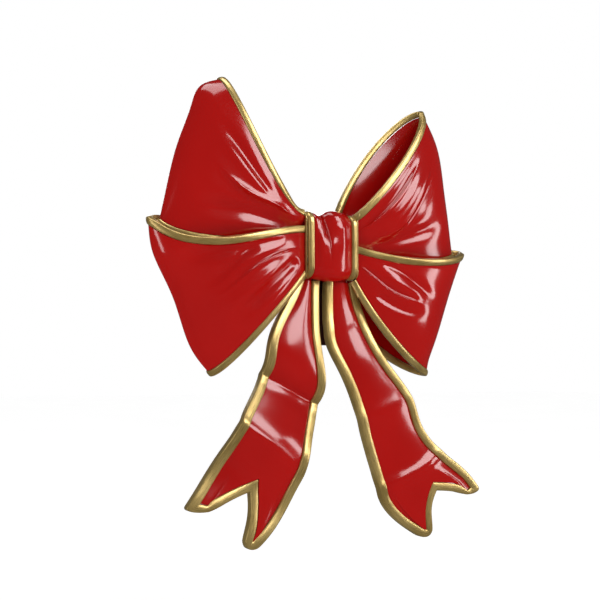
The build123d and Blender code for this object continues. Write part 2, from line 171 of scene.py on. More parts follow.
# Folds pressed into the ribbons: height, reach, side, then points from the knot outwards as
# (along, across). Side 0 is a soft swell. Side 1 or -1 is a sharp pleat whose rounded ridge
# lies toward the upper or the lower edge.
UPPER_LEFT_FOLDS = [
    (5.0, 12.0, -1, [(0.11, 0.59), (0.24, 0.58), (0.33, 0.52), (0.44, 0.47), (0.57, 0.49),
                     (0.71, 0.55)]),
    (3.2, 9.0, 0, [(0.30, 0.69), (0.40, 0.74), (0.52, 0.80), (0.66, 0.83), (0.78, 0.84)]),
    (-2.2, 9.0, 0, [(0.32, 0.63), (0.46, 0.66), (0.60, 0.70), (0.74, 0.74)]),
    (7.0, 17.0, 0, [(0.10, 0.34), (0.23, 0.30), (0.44, 0.25), (0.62, 0.20), (0.78, 0.20)]),
]
LOWER_LEFT_FOLDS = [
    (4.0, 13.0, 0, [(0.16, 0.92), (0.28, 0.88), (0.48, 0.82), (0.67, 0.77), (0.80, 0.76)]),
    (3.4, 8.5, 0, [(0.32, 0.80), (0.40, 0.74), (0.51, 0.61), (0.62, 0.54), (0.72, 0.50)]),
    (2.2, 6.0, 1, [(0.06, 0.66), (0.19, 0.66), (0.30, 0.61), (0.42, 0.53), (0.55, 0.45),
                   (0.69, 0.41)]),
    (8.5, 15.0, 0, [(0.08, 0.44), (0.16, 0.39), (0.33, 0.30), (0.48, 0.24), (0.66, 0.18)]),
    (-2.6, 13.0, 0, [(0.20, 0.51), (0.36, 0.42), (0.52, 0.34), (0.66, 0.31)]),
]
UPPER_RIGHT_FOLDS = [
    (3.4, 9.0, 1, [(0.02, 0.62), (0.14, 0.69), (0.28, 0.77), (0.42, 0.83), (0.54, 0.88),
                   (0.66, 0.92)]),
    (3.2, 11.0, -1, [(0.24, 0.31), (0.35, 0.39), (0.47, 0.54), (0.60, 0.69), (0.74, 0.79)]),
    (6.0, 16.0, 0, [(0.10, 0.18), (0.26, 0.21), (0.42, 0.24), (0.60, 0.26), (0.76, 0.29)]),
    (-2.4, 13.0, 0, [(0.22, 0.52), (0.36, 0.62), (0.50, 0.74), (0.66, 0.83)]),
]
LOWER_RIGHT_FOLDS = [
    (3.2, 7.5, 1, [(0.01, 0.61), (0.12, 0.38), (0.26, 0.30), (0.41, 0.34), (0.60, 0.42)]),
    (4.6, 11.0, 0, [(0.16, 0.76), (0.26, 0.69), (0.38, 0.59), (0.52, 0.51), (0.66, 0.47)]),
    (3.4, 9.5, 0, [(0.14, 0.14), (0.30, 0.18), (0.48, 0.27), (0.60, 0.38)]),
    (-3.0, 12.0, 0, [(0.20, 0.50), (0.34, 0.44), (0.46, 0.42), (0.56, 0.42)]),
]
LOOPS = {
    "upper_left": (-1, UPPER_LEFT, UPPER_LEFT_FOLDS),
    "lower_left": (-1, LOWER_LEFT, LOWER_LEFT_FOLDS),
    "upper_right": (1, UPPER_RIGHT, UPPER_RIGHT_FOLDS),
    "lower_right": (1, LOWER_RIGHT, LOWER_RIGHT_FOLDS),
}

# Outlines of the tails at the outside of their rims, as (x, z): one edge down from the knot,
# the foot with its notch, and the other edge back up. The waves give the distance of its
# middle from the wall, by distance down its own axis.
LEFT_TAIL = {
    "side": -1,
    "tongue": (-35.0, -22.5),
    "waves": [(-60, 53.3), (-30, 53.3), (0, 53.5), (24, 57), (60, 64.5), (95, 72), (117, 74),
              (134, 70), (148, 64), (166, 70), (192, 84), (216, 95), (232, 96), (257, 89),
              (292, 89), (331, 97), (385, 95)],
    "outer": [(-45, 10), (-60, -17), (-80, -46), (-95, -80), (-99, -112), (-112, -134),
              (-139, -166), (-160, -200), (-186, -236), (-215, -271)],
    "foot": [(-190, -275), (-160, -266), (-128, -256), (-131, -288), (-136, -322)],
    "inner": [(-124, -323), (-104, -307), (-78, -279), (-60, -246), (-46, -208), (-28, -174),
              (-15, -140), (-15, -110), (-18, -66), (-15, -28), (-11, 10)],
    "folds": [
        (-2.0, 4.0, 0, [(142, -150), (147, -50), (148, 0), (147, 70), (142, 220)]),
        (2.2, 7.0, 0, [(200, 130), (214, 60), (218, 44), (227, 0), (236, -40), (254, -100)]),
        (1.6, 7.0, 0, [(256, 48), (260, 29), (264, 14), (268, -2), (270, -20)]),
    ],
}
RIGHT_TAIL = {
    "side": 1,
    "tongue": (9.0, 30.0),
    "waves": [(-60, 53.3), (-30, 53.3), (0, 53.3), (36, 57), (75, 66), (105, 72.5), (132, 76.5),
              (161, 81), (192, 84), (224, 85), (257, 89), (292, 92), (331, 95), (385, 94)],
    "outer": [(45, 10), (48, -14), (56, -49), (74, -89), (98, -122), (117, -152), (129, -184),
              (157, -218), (196, -247), (220, -274)],
    "foot": [(208, -279), (178, -275), (146, -271), (136, -296), (132, -330)],
    "inner": [(119, -330), (85, -308), (62, -282), (51, -244), (37, -196), (23, -142),
              (9, -108), (-3, -78), (-4, -40), (-1, 10)],
    "folds": [
        (1.2, 10.0, 0, [(36, -100), (50, -30), (55, 20), (60, 100)]),
        (1.6, 12.0, 0, [(160, -110), (174, -30), (182, 20), (196, 110)]),
        (3.0, 9.0, 0, [(252, -110), (266, -40), (270, 0), (266, 40), (250, 120)]),
    ],
}
# The knot's band: along is measured round it from the wall at the top, 0 to 1, and across
# is the distance from its middle in millimetres.
BAND_FOLDS = [
    (-6.2, 8.5, 0, [(0.02, -17), (0.20, -17), (0.34, -17), (0.46, -15), (0.56, -11), (0.64, -9)]),
    (1.8, 4.5, 1, [(0.20, -20), (0.38, -19), (0.47, -16), (0.58, -11), (0.69, -8), (0.80, -6)]),
    (1.4, 5.0, 0, [(0.52, -20), (0.62, -20), (0.72, -19), (0.84, -17)]),
    (1.6, 8.0, 0, [(0.44, 9), (0.58, 11), (0.76, 12)]),
]


# ---- curves and surfaces ----
def spline_at(knots, values, x):
    """Natural cubic spline through values at the knots, evaluated at x."""
    knots = np.asarray(knots, float)
    values = np.asarray(values, float)
    rows = values.reshape(len(knots), -1)
    gaps = np.diff(knots)
    system = np.eye(len(knots))
    right = np.zeros_like(rows)
    for i in range(1, len(knots) - 1):
        system[i, i - 1:i + 2] = gaps[i - 1], 2 * (gaps[i - 1] + gaps[i]), gaps[i]
        slopes = np.diff(rows[i - 1:i + 2], axis=0) / gaps[i - 1:i + 1, None]
        right[i] = 6 * (slopes[1] - slopes[0])
    bend = np.linalg.solve(system, right)
    x = np.ravel(x)
    k = np.clip(np.searchsorted(knots, x) - 1, 0, len(knots) - 2)
    gap = gaps[k][:, None]
    after = (x - knots[k])[:, None]
    before = gap - after
    out = (bend[k] * before**3 + bend[k + 1] * after**3) / (6 * gap)
    out += (rows[k] / gap - bend[k] * gap / 6) * before
    out += (rows[k + 1] / gap - bend[k + 1] * gap / 6) * after
    return out.reshape((len(x),) + values.shape[1:])


def curve_through(points, share):
    """Smooth curve through points, at shares 0..1 of the way along it."""
    points = np.asarray(points, float)
    steps = np.linalg.norm(np.diff(points, axis=0), axis=1)
    knots = np.concatenate([[0], np.cumsum(steps)])
    return spline_at(knots / knots[-1], points, share)


def unit(a):
    return a / np.linalg.norm(a, axis=-1, keepdims=True)


def smooth(x):
    """0 to 1 with level ends, for x from 0 to 1."""
    x = np.clip(x, 0, 1)
    return x * x * (3 - 2 * x)


def bezier(p, t):
    """Cubic Bezier curves with control points p[:, 0..3], at t."""
    t = t[:, None]
    ends = p[:, 0] * (1 - t)**3 + p[:, 3] * t**3
    return ends + 3 * p[:, 1] * t * (1 - t)**2 + 3 * p[:, 2] * t**2 * (1 - t)


def surface_frame(place, a, b, step_a, step_b):
    """Point, direction along and normal of a surface place(a, b)."""
    along = unit(place(a + step_a, b) - place(a - step_a, b))
    across = place(a, b + step_b) - place(a, b - step_b)
    return place(a, b), along, unit(np.cross(along, across))


def fold_heights(place, a, b, folds, pinch=1.0):
    """How far the folds raise each point of a surface. Folds narrow to pinch where a is 0."""
    points = place(a, b).reshape(-1, 3)
    down = np.ravel(a)
    across = np.ravel(b)
    total = np.zeros(len(points))
    share = np.linspace(0, 1, 110)
    for height, reach, side, route in folds:
        line = spline_at(np.linspace(0, 1, len(route)), route, share)
        path = place(line[:, 0], line[:, 1])
        gaps = np.linalg.norm(points[:, None] - path[None], axis=2)
        nearest = np.argmin(gaps, axis=1)
        run = np.gradient(path, axis=0)[nearest]
        offset = points - path[nearest]
        reached = np.sum(offset * run, axis=1) / (np.sum(run * run, axis=1) + 1e-9)
        slip = np.clip(reached, -0.5, 0.5)[:, None]
        away = np.linalg.norm(offset - slip * run, axis=1)
        turn = np.gradient(line, axis=0)[nearest]
        spot = line[nearest] + slip * turn
        left_over = turn[:, 0] * (across - spot[:, 1]) - turn[:, 1] * (down - spot[:, 0])
        away = away * np.sign(left_over)
        narrow = pinch + (1 - pinch) * np.clip(line[nearest, 0], 0, 1) if pinch < 1 else 1.0
        x = away / (reach * narrow)
        if side == 0:
            shape = np.exp(-x * x)
        else:
            ridge = np.clip(x * side, 0, None)
            crease = np.exp(0.44 - 2.2 * np.sqrt(x * x + 0.04))
            shape = 1.5 * ridge * np.exp(1 - 1.4 * ridge) - 0.8 * crease
        along = share[nearest]
        fade = smooth(along / FOLD_STARTS) * smooth((1 - along) / FOLD_ENDS)
        total += height * (0.4 + 0.6 * narrow) * shape * fade
    return total.reshape(np.shape(a))


# ---- meshes ----
def new_piece(name, points, faces, uvs, material):
    """Mesh piece of the bow with its UVs and finish, parented to the root body."""
    mesh = bpy.data.meshes.new(name)
    mesh.from_pydata((np.asarray(points) * MM).tolist(), [], faces)
    layer = mesh.uv_layers.new(name="UVMap")
    corner = np.empty(len(mesh.loops), int)
    mesh.loops.foreach_get("vertex_index", corner)
    layer.data.foreach_set("uv", np.asarray(uvs)[corner].astype(np.float32).ravel())
    mesh.materials.append(material)
    mesh.polygons.foreach_set("use_smooth", np.ones(len(mesh.polygons), bool))
    mesh.set_sharp_from_angle(angle=math.radians(52))
    mesh.validate()
    piece = bpy.data.objects.new(name, mesh)
    bpy.context.scene.collection.objects.link(piece)
    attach(piece, "root")
    return piece


def grid_faces(rows, columns, start, flip):
    """Quads over a grid of vertices, numbered row by row from start."""
    faces = []
    for i in range(rows - 1):
        for j in range(columns - 1):
            p = start + i * columns + j
            quad = (p, p + columns, p + columns + 1, p + 1)
            faces.append(quad[::-1] if flip else quad)
    return faces


def grid_border(rows, columns):
    """Vertex numbers round the edge of a grid, in order."""
    top = list(range(columns))
    right = [i * columns + columns - 1 for i in range(1, rows)]
    bottom = [(rows - 1) * columns + j for j in range(columns - 2, -1, -1)]
    left = [i * columns for i in range(rows - 2, 0, -1)]
    return top + right + bottom + left


def closed_sheet(front, back, flip):
    """Points, faces and UVs of a closed sheet between two grids, front side first."""
    rows, columns = front.shape[:2]
    count = rows * columns
    points = np.concatenate([front.reshape(-1, 3), back.reshape(-1, 3)])
    faces = grid_faces(rows, columns, 0, flip) + grid_faces(rows, columns, count, not flip)
    border = grid_border(rows, columns)
    for here, there in zip(border, border[1:] + border[:1]):
        quad = (here, there, there + count, here + count)
        faces.append(quad[::-1] if flip else quad)
    lengths = np.linalg.norm(np.diff(front[:, columns // 2], axis=0), axis=1)
    along = np.repeat(np.concatenate([[0], np.cumsum(lengths)]) * MM, columns)
    wide = np.linalg.norm(front[rows // 2, -1] - front[rows // 2, 0]) * MM
    across = np.tile(np.linspace(0, wide, columns), rows)
    uvs = np.stack([along, across], 1)
    return points, faces, np.concatenate([uvs, uvs])


def swept_bar(rings):
    """Points, faces and UVs of a closed bar through rings of section points."""
    count, around = rings.shape[:2]
    points = rings.reshape(-1, 3)
    faces = []
    for i in range(count - 1):
        for j in range(around):
            k = (j + 1) % around
            near, far = i * around, (i + 1) * around
            faces.append((near + j, near + k, far + k, far + j))
    faces.append(tuple(range(around))[::-1])
    faces.append(tuple((count - 1) * around + j for j in range(around)))
    lengths = np.linalg.norm(np.diff(rings.mean(1), axis=0), axis=1)
    along = np.repeat(np.concatenate([[0], np.cumsum(lengths)]) * MM, around)
    girth = np.tile(np.arange(around) / around * 0.035, count)
    return points, faces, np.stack([along, girth], 1)


def outward(faces, points):
    """The faces, turned over if the closed mesh they make is inside out."""
    volume = 0.0
    for face in faces:
        p = points[list(face)]
        for i in range(1, len(face) - 1):
            volume += np.dot(p[0], np.cross(p[i], p[i + 1]))
    return faces if volume > 0 else [face[::-1] for face in faces]


def round_section(wide, thick, radius, crown=0.0):
    """Rounded rectangle, wide from 0 to wide and thick about 0, with slightly domed faces."""
    corners = [(wide - radius, thick / 2 - radius, 0), (radius, thick / 2 - radius, 90),
               (radius, radius - thick / 2, 180), (wide - radius, radius - thick / 2, 270)]
    section = []
    for x, y, start in corners:
        for turn in np.linspace(0, 90, 5):
            angle = math.radians(start + turn)
            section.append((x + radius * math.cos(angle), y + radius * math.sin(angle)))
        if start in (0, 180):
            lift = crown if start == 0 else -crown
            edge = thick / 2 if start == 0 else -thick / 2
            for share in (0.3, 0.5, 0.7):
                across = wide * (1 - share) if start == 0 else wide * share
                section.append((across, edge + lift * (1 - (2 * share - 1)**2)))
    return np.array(section)


# ---- materials ----
def new_material(name):
    material = bpy.data.materials.new(name)
    material.use_nodes = True
    tree = material.node_tree
    tree.nodes.clear()
    output = tree.nodes.new("ShaderNodeOutputMaterial")
    shader = tree.nodes.new("ShaderNodeBsdfPrincipled")
    tree.links.new(shader.outputs["BSDF"], output.inputs["Surface"])
    return material, tree, shader


def noise(tree, coordinates, scale, detail, stretch=(1, 1, 1)):
    """Noise texture over one of the Texture Coordinate outputs, stretched by a mapping."""
    source = tree.nodes.new("ShaderNodeTexCoord")
    mapping = tree.nodes.new("ShaderNodeMapping")
    mapping.inputs["Scale"].default_value = stretch
    texture = tree.nodes.new("ShaderNodeTexNoise")
    texture.inputs["Scale"].default_value = scale
    texture.inputs["Detail"].default_value = detail
    tree.links.new(source.outputs[coordinates], mapping.inputs["Vector"])
    tree.links.new(mapping.outputs["Vector"], texture.inputs["Vector"])
    return texture.outputs["Fac"]


def ramp(tree, factor, stops):
    """Colour ramp over factor with (place, colour) stops."""
    node = tree.nodes.new("ShaderNodeValToRGB")
    while len(node.color_ramp.elements) < len(stops):
        node.color_ramp.elements.new(0.5)
    for element, (place, colour) in zip(node.color_ramp.elements, stops):
        element.position = place
        element.color = (*colour, 1)
    tree.links.new(factor, node.inputs["Fac"])
    return node.outputs["Color"]


def spread(tree, factor, low, high):
    """Factor from 0.3..0.7, where most noise lies, mapped to low..high."""
    node = tree.nodes.new("ShaderNodeMapRange")
    node.inputs["From Min"].default_value = 0.3
    node.inputs["From Max"].default_value = 0.7
    node.inputs["To Min"].default_value = low
    node.inputs["To Max"].default_value = high
    tree.links.new(factor, node.inputs["Value"])
    return node.outputs["Result"]


def add_bump(tree, shader, height, distance, strength):
    bump = tree.nodes.new("ShaderNodeBump")
    bump.inputs["Distance"].default_value = distance
    bump.inputs["Strength"].default_value = strength
    tree.links.new(height, bump.inputs["Height"])
    tree.links.new(bump.outputs["Normal"], shader.inputs["Normal"])


def lacquer_material(name, deep, bright):
    """Poured gloss lacquer: slightly clouded red under a clear coat with a faint ripple."""
    material, tree, shader = new_material(name)
    cloud = noise(tree, "Object", 9.0, 3.0)
    tree.links.new(ramp(tree, cloud, [(0.3, deep), (0.7, bright)]), shader.inputs["Base Color"])
    haze = noise(tree, "Object", 60.0, 4.0)
    tree.links.new(spread(tree, haze, 0.26, 0.36), shader.inputs["Roughness"])
    shader.inputs["Specular IOR Level"].default_value = 0.0
    shader.inputs["Coat Weight"].default_value = 1.0
    shader.inputs["Coat Roughness"].default_value = 0.13
    shader.inputs["Coat IOR"].default_value = 1.5
    add_bump(tree, shader, noise(tree, "Object", 140.0, 2.0), 0.0004, 0.10)
    return material


def gold_material(name, dark, pale, low, high):
    """Brushed gold: fine streaks along the rim and patches of uneven wear."""
    material, tree, shader = new_material(name)
    streak = noise(tree, "UV", 1.0, 6.0, (60, 2600, 1))
    wear = noise(tree, "Object", 26.0, 4.0)
    mixed = tree.nodes.new("ShaderNodeMath")
    mixed.operation = "ADD"
    tree.links.new(spread(tree, streak, 0.0, 0.5), mixed.inputs[0])
    tree.links.new(spread(tree, wear, 0.0, 0.5), mixed.inputs[1])
    colour = ramp(tree, mixed.outputs[0], [(0.2, dark), (0.8, pale)])
    tree.links.new(colour, shader.inputs["Base Color"])
    tree.links.new(spread(tree, streak, low, high), shader.inputs["Roughness"])
    shader.inputs["Metallic"].default_value = 0.65
    shader.inputs["Anisotropic"].default_value = 0.35
    shader.inputs["Coat Weight"].default_value = 0.5
    shader.inputs["Coat Roughness"].default_value = 0.28
    add_bump(tree, shader, streak, 0.0003, 0.35)
    return material


def wood_material(name, dark, light, rough):
    """Painted or bare timber with its grain along Z."""
    material, tree, shader = new_material(name)
    grain = noise(tree, "Object", 60.0, 6.0, (1, 1, 0.05))
    tree.links.new(ramp(tree, grain, [(0.35, dark), (0.7, light)]), shader.inputs["Base Color"])
    tree.links.new(spread(tree, grain, rough, rough + 0.15), shader.inputs["Roughness"])
    add_bump(tree, shader, grain, 0.0008, 0.4)
    return material


def turned_metal(name, dark, light, rough):
    """Machined metal with fine irregular marks."""
    material, tree, shader = new_material(name)
    marks = noise(tree, "Object", 900.0, 5.0)
    tree.links.new(ramp(tree, marks, [(0.3, dark), (0.7, light)]), shader.inputs["Base Color"])
    tree.links.new(spread(tree, marks, rough, rough + 0.15), shader.inputs["Roughness"])
    shader.inputs["Metallic"].default_value = 1.0
    add_bump(tree, shader, marks, 0.0002, 0.3)
    return material


LACQUER = lacquer_material("red_lacquer", (0.375, 0.0036, 0.0024), (0.43, 0.0046, 0.0030))
GOLD = gold_material("brushed_gold", (0.40, 0.265, 0.066), (0.66, 0.475, 0.165), 0.24, 0.40)
# The core's red paint is darker than the lacquer: painted shade for the narrow crevices beside the
# knot where the core shows.
CORE_PAINT_SHADED = wood_material("core_paint_shaded", (0.13, 0.004, 0.003), (0.20, 0.006, 0.004), 0.20)
BATTEN_PAINT = wood_material("batten_paint", (0.010, 0.006, 0.006), (0.022, 0.014, 0.012), 0.32)
STEEL = turned_metal("screw_zinc", (0.42, 0.42, 0.43), (0.62, 0.62, 0.62), 0.25)
BRASS = turned_metal("insert_brass", (0.52, 0.38, 0.15), (0.74, 0.57, 0.26), 0.22)


# ---- loops ----
def loop_place(loop):
    """Function for the middle of a loop's wall: a runs 0..1 in front and 1..2 back."""
    side, ribs = loop[:2]

    def place(a, b):
        a, b = np.broadcast_arrays(np.asarray(a, float), np.asarray(b, float))
        rails = spline_at([rib[0] for rib in ribs], [rib[1:] for rib in ribs], b)
        front = bezier(rails[:, 0:4], np.clip(a.ravel(), -1, 1))
        back = bezier(rails[:, 3:7], np.clip(a.ravel() - 1, 0, 2))
        points = np.where((a.ravel() <= 1)[:, None], front, back) * [side, 1, 1]
        return points.reshape(a.shape + (3,))

    return place


def square_roots(points, along, side):
    """Slide the first and last rows along the ribbon onto the plane of the root faces."""
    for row in (0, -1):
        slide = (side * LOOP_ROOT - points[row][..., 0]) / along[row][..., 0]
        points[row] = points[row] + along[row] * slide[..., None]
    return points


def build_loop(name, loop):
    side, _, folds = loop
    place = loop_place(loop)
    a, b = np.meshgrid(np.linspace(0, 2, LOOP_STEPS), np.linspace(0, 1, LOOP_ROWS), indexing="ij")
    middle, along, normal = surface_frame(place, a, b, 1e-3, 1e-3)
    normal = -side * normal
    raised = fold_heights(place, a, b, folds, pinch=ROOT_PINCH)
    raised = raised * smooth(b / EDGE_CALM) * smooth((1 - b) / EDGE_CALM) * smooth(a / 0.03)
    lift = raised[..., None] * normal
    outer = square_roots(middle + normal * SHELL / 2 + lift, along, side)
    inner = square_roots(middle - normal * SHELL / 2 + lift, along, side)
    points, faces, uvs = closed_sheet(outer, inner, side > 0)
    faces = outward(faces, points)
    piece = new_piece(f"{name}_ribbon", points, faces, uvs, LACQUER)
    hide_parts(f"{name}_loop")
    for word, edge in (("lower", 0.0), ("upper", 1.0)):
        build_loop_rim(name, word, edge, loop, place)


def build_loop_rim(name, word, edge, loop, place):
    """Gold rim along one edge of a loop."""
    side = loop[0]
    a = np.linspace(0, 2, LOOP_STEPS)
    middle, along, normal = surface_frame(place, a, edge, 1e-3, 1e-3)
    normal = -side * normal
    inside = place(a, 0.01 + 0.98 * edge)
    out = unit(np.cross(along, normal))
    out *= np.sign(np.sum(out * (middle - inside), axis=1, keepdims=True))
    section = round_section(RIM_WIDE, RIM_THICK, RIM_ROUND, 0.35)
    rings = middle[:, None] + out[:, None] * (RIM_GAP + section[None, :, :1])
    rings = rings + normal[:, None] * section[None, :, 1:]
    rings = square_roots(rings, np.repeat(along[:, None], len(section), 1), side)
    points, faces, uvs = swept_bar(rings)
    faces = outward(faces, points)
    piece = new_piece(f"{name}_{word}_rim_gold", points, faces, uvs, GOLD)
    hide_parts(f"{name}_loop_{word}_rim")


# ---- tails ----
def tail_place(tail):
    """Function for the middle of a tail: a is down its axis and b across it, in mm."""
    side = tail["side"]
    down = np.array([side * math.sin(TAIL_TILT), -math.cos(TAIL_TILT)])
    over = np.array([side * math.cos(TAIL_TILT), math.sin(TAIL_TILT)])

    def place(a, b):
        a, b = np.broadcast_arrays(np.asarray(a, float), np.asarray(b, float))
        flat = a[..., None] * down + b[..., None] * over
        depth = spline_at(*zip(*tail["waves"]), a).reshape(a.shape)
        return np.stack([flat[..., 0], -depth, flat[..., 1]], -1)

    return place, down, over


def inset_side(points, share, inset, tail_side, starts_sharp, ends_sharp, joins):
    """One side of a tail's outline, moved in by inset, with mitres where it meets its joins."""
    line = curve_through(points, share)
    run = unit(np.gradient(line, axis=0))
    inward = np.stack([run[:, 1], -run[:, 0]], 1) * tail_side
    length = np.concatenate([[0], np.cumsum(np.linalg.norm(np.diff(line, axis=0), axis=1))])
    moved = inward.copy()
    for sharp, index, other in ((starts_sharp, 0, joins[0]), (ends_sharp, -1, joins[1])):
        if sharp:
            mine = inward[index]
            mitre = (mine + other) / (1 + mine @ other)
            near = np.abs(length - length[index])
            moved += (mitre - mine) * (1 - smooth(near / (inset * 4 + 1)))[:, None]
    return line + moved * inset


def tail_sides(tail, inset, steps):
    """The four sides of a tail's outline: outer edge, foot to notch, notch to toe, inner edge."""
    heel, notch, toe = tail["outer"][-1], tail["foot"][2], tail["inner"][0]
    heel_side = [heel, *tail["foot"][0:2], notch]
    toe_side = [notch, *tail["foot"][3:], toe]
    routes = [tail["outer"], heel_side, toe_side, tail["inner"]]
    ends = []
    for route in routes:
        line = curve_through(route, np.linspace(0, 1, 60))
        run = unit(np.diff(line, axis=0)[[0, -1]])
        ends.append(np.stack([run[:, 1], -run[:, 0]], 1) * tail["side"])
    sides = []
    for i, route in enumerate(routes):
        before = ends[i - 1][1] if i else None
        after = ends[i + 1][0] if i < 3 else None
        share = np.linspace(0, 1, steps[i])
        sides.append(inset_side(route, share, inset, tail["side"], i > 0, i < 3, (before, after)))
    return sides


def cut_top(line, top):
    """The line from where it passes height top down, with its points spread evenly."""
    z = line[:, 1]
    order = np.argsort(z)
    x = np.interp(top, z[order], line[order, 0])
    kept = line[z < top - 0.5]
    start = np.array([[x, top]])
    joined = np.concatenate([start, kept]) if z[0] > z[-1] else np.concatenate([kept, start])
    steps = np.linalg.norm(np.diff(joined, axis=0), axis=1)
    far = np.concatenate([[0], np.cumsum(steps)])
    even = np.linspace(0, far[-1], len(line))
    return np.stack([np.interp(even, far, joined[:, k]) for k in (0, 1)], 1)


def tail_depth(tail, flat):
    """Distance from the wall of a tail's middle at (x, z) places, folds included."""
    place, down, over = tail_place(tail)
    a = flat @ down
    b = flat @ over
    rise = fold_heights(place, a, b, tail["folds"])
    return -place(a, b)[..., 1] + rise


def build_tail(name, tail):
    side = tail["side"]
    steps = (TAIL_STEPS, TAIL_ROWS // 2 + 1, TAIL_ROWS // 2 + 1, TAIL_STEPS)
    # rim
    outer = tail_sides(tail, 0.0, steps)
    inner = tail_sides(tail, TAIL_RIM_WIDE, steps)
    outline, inside = [], []
    for k, (far, near) in enumerate(zip(outer, inner)):
        if k in (0, 3):
            far = cut_top(far, TAIL_TOP)
            near = cut_top(near, TAIL_TOP)
        outline.append(far if k == 0 else far[1:])
        inside.append(near if k == 0 else near[1:])
    outline = soften_tips(np.concatenate(outline), [TAIL_STEPS - 1, TAIL_STEPS + TAIL_ROWS - 1])
    inside = np.concatenate(inside)
    wide = np.linalg.norm(outline - inside, axis=1)
    out = (outline - inside) / wide[:, None]
    section = round_section(TAIL_RIM_WIDE, TAIL_RIM_THICK, 1.8, 0.4)
    outward_share = section[None, :, :1] / TAIL_RIM_WIDE
    flat = inside[:, None] + out[:, None] * (outward_share * wide[:, None, None])
    depth = tail_depth(tail, flat) + section[None, :, 1]
    rings = np.stack([flat[..., 0], -depth, flat[..., 1]], -1)
    points, faces, uvs = swept_bar(rings)
    faces = outward(faces, points)
    piece = new_piece(f"{name}_rim_gold", points, faces, uvs, GOLD)
    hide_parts(f"{name}_rim")
    # panel
    edges = tail_sides(tail, TAIL_RIM_WIDE + RIM_GAP, steps)
    left = cut_top(edges[0], TAIL_TOP)
    right = cut_top(edges[3], TAIL_TOP)[::-1]
    foot = np.concatenate([edges[1], edges[2][1:]])
    across = np.linspace(0, 1, len(foot))
    down = np.linspace(0, 1, TAIL_STEPS)[:, None, None]
    flat = left[:, None] * (1 - across)[None, :, None] + right[:, None] * across[None, :, None]
    straight = left[-1] * (1 - across)[:, None] + right[-1] * across[:, None]
    flat = flat + smooth((down - 0.55) / 0.45)**2 * (foot - straight)[None]
    crown = TAIL_CROWN * (1 - (2 * across - 1)**2)
    depth = tail_depth(tail, flat) + crown[None]
    half = TAIL_WALL / 2
    front = np.stack([flat[..., 0], -(depth + half), flat[..., 1]], -1)
    back = np.stack([flat[..., 0], -(depth - half), flat[..., 1]], -1)
    points, faces, uvs = closed_sheet(front, back, side > 0)
    faces = outward(faces, points)
    piece = new_piece(f"{name}_panel", points, faces, uvs, LACQUER)
    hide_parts(name)
    build_tongue(name, tail)


def soften_tips(line, tips, reach=7, rounds=10):
    """Round the sharp tips of an outline by averaging the points about them."""
    line = line.copy()
    for tip in tips:
        window = slice(tip - reach, tip + reach + 1)
        for _ in range(rounds):
            middle = (line[tip - reach - 1:tip + reach] + line[tip - reach + 1:tip + reach + 2]) / 2
            line[window] = line[window] * 0.5 + middle * 0.5
    return line


def build_tongue(name, tail):
    """The flat tongue that holds the tail in the core's pocket."""
    left, right = tail["tongue"]
    section = round_section(right - left, TAIL_WALL, 0.6)
    heights = np.linspace(TAIL_TOP + 0.2, TAIL_PANEL_TOP, 8)
    rings = np.empty((len(heights), len(section), 3))
    rings[..., 0] = left + section[None, :, 0]
    rings[..., 1] = -(tail["waves"][0][1] + section[None, :, 1])
    rings[..., 2] = heights[:, None]
    points, faces, uvs = swept_bar(rings)
    new_piece(f"{name}_tongue", points, outward(faces, points), uvs, LACQUER)


# ---- knot ----
def front_route(rear, front, top, bottom, end, corner):
    """Path in (distance from the wall, height) along the top from rear, down the front with
    rounded corners, and back below to end."""
    turns = np.linspace(0, math.pi / 2, 9)
    above = [(front - corner + corner * math.sin(turn), top - corner + corner * math.cos(turn))
             for turn in turns]
    below = [(front - corner + corner * math.cos(turn), bottom + corner - corner * math.sin(turn))
             for turn in turns]
    return np.array([(rear, top), *above, *below, (end, bottom)])


def along_route(route, share):
    """Points at shares 0..1 of the length of a path with straight steps."""
    far = np.concatenate([[0], np.cumsum(np.linalg.norm(np.diff(route, axis=0), axis=1))])
    even = share * far[-1]
    return np.stack([np.interp(even, far, route[:, k]) for k in (0, 1)], -1)


def band_route(grow, share):
    """(distance from the wall, height) round the band's outside, from the wall at the top."""
    rear = -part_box("knot_band")[1].y / MM
    rim_low, rim_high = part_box("knot_left_rim")
    front = -rim_low.y / MM - BAND_RIM_PROUD + grow
    top = rim_high.z / MM - BAND_RIM_PROUD / 2 + grow * BAND_GROWS_DOWN
    bottom = rim_low.z / MM + BAND_RIM_PROUD / 2 - grow * BAND_GROWS_DOWN
    route = front_route(rear, front, top, bottom, BAND_LIP, BAND_CORNER)
    return along_route(route, np.clip(share, 0, 1))


def band_place(a, b):
    """Outside of the knot's band: a round it from the wall at the top, b across it in mm."""
    a, b = np.broadcast_arrays(np.asarray(a, float), np.asarray(b, float))
    thin = band_route(0.0, a.ravel())
    fat = band_route(BAND_BULGE, a.ravel())
    blend = np.clip(1 - (b.ravel() / BAND_HALF_WIDTH)**2, 0, 1)[:, None]
    route = thin * (1 - blend) + fat * blend
    points = np.stack([b.ravel(), -route[:, 0], route[:, 1]], -1)
    return points.reshape(a.shape + (3,))


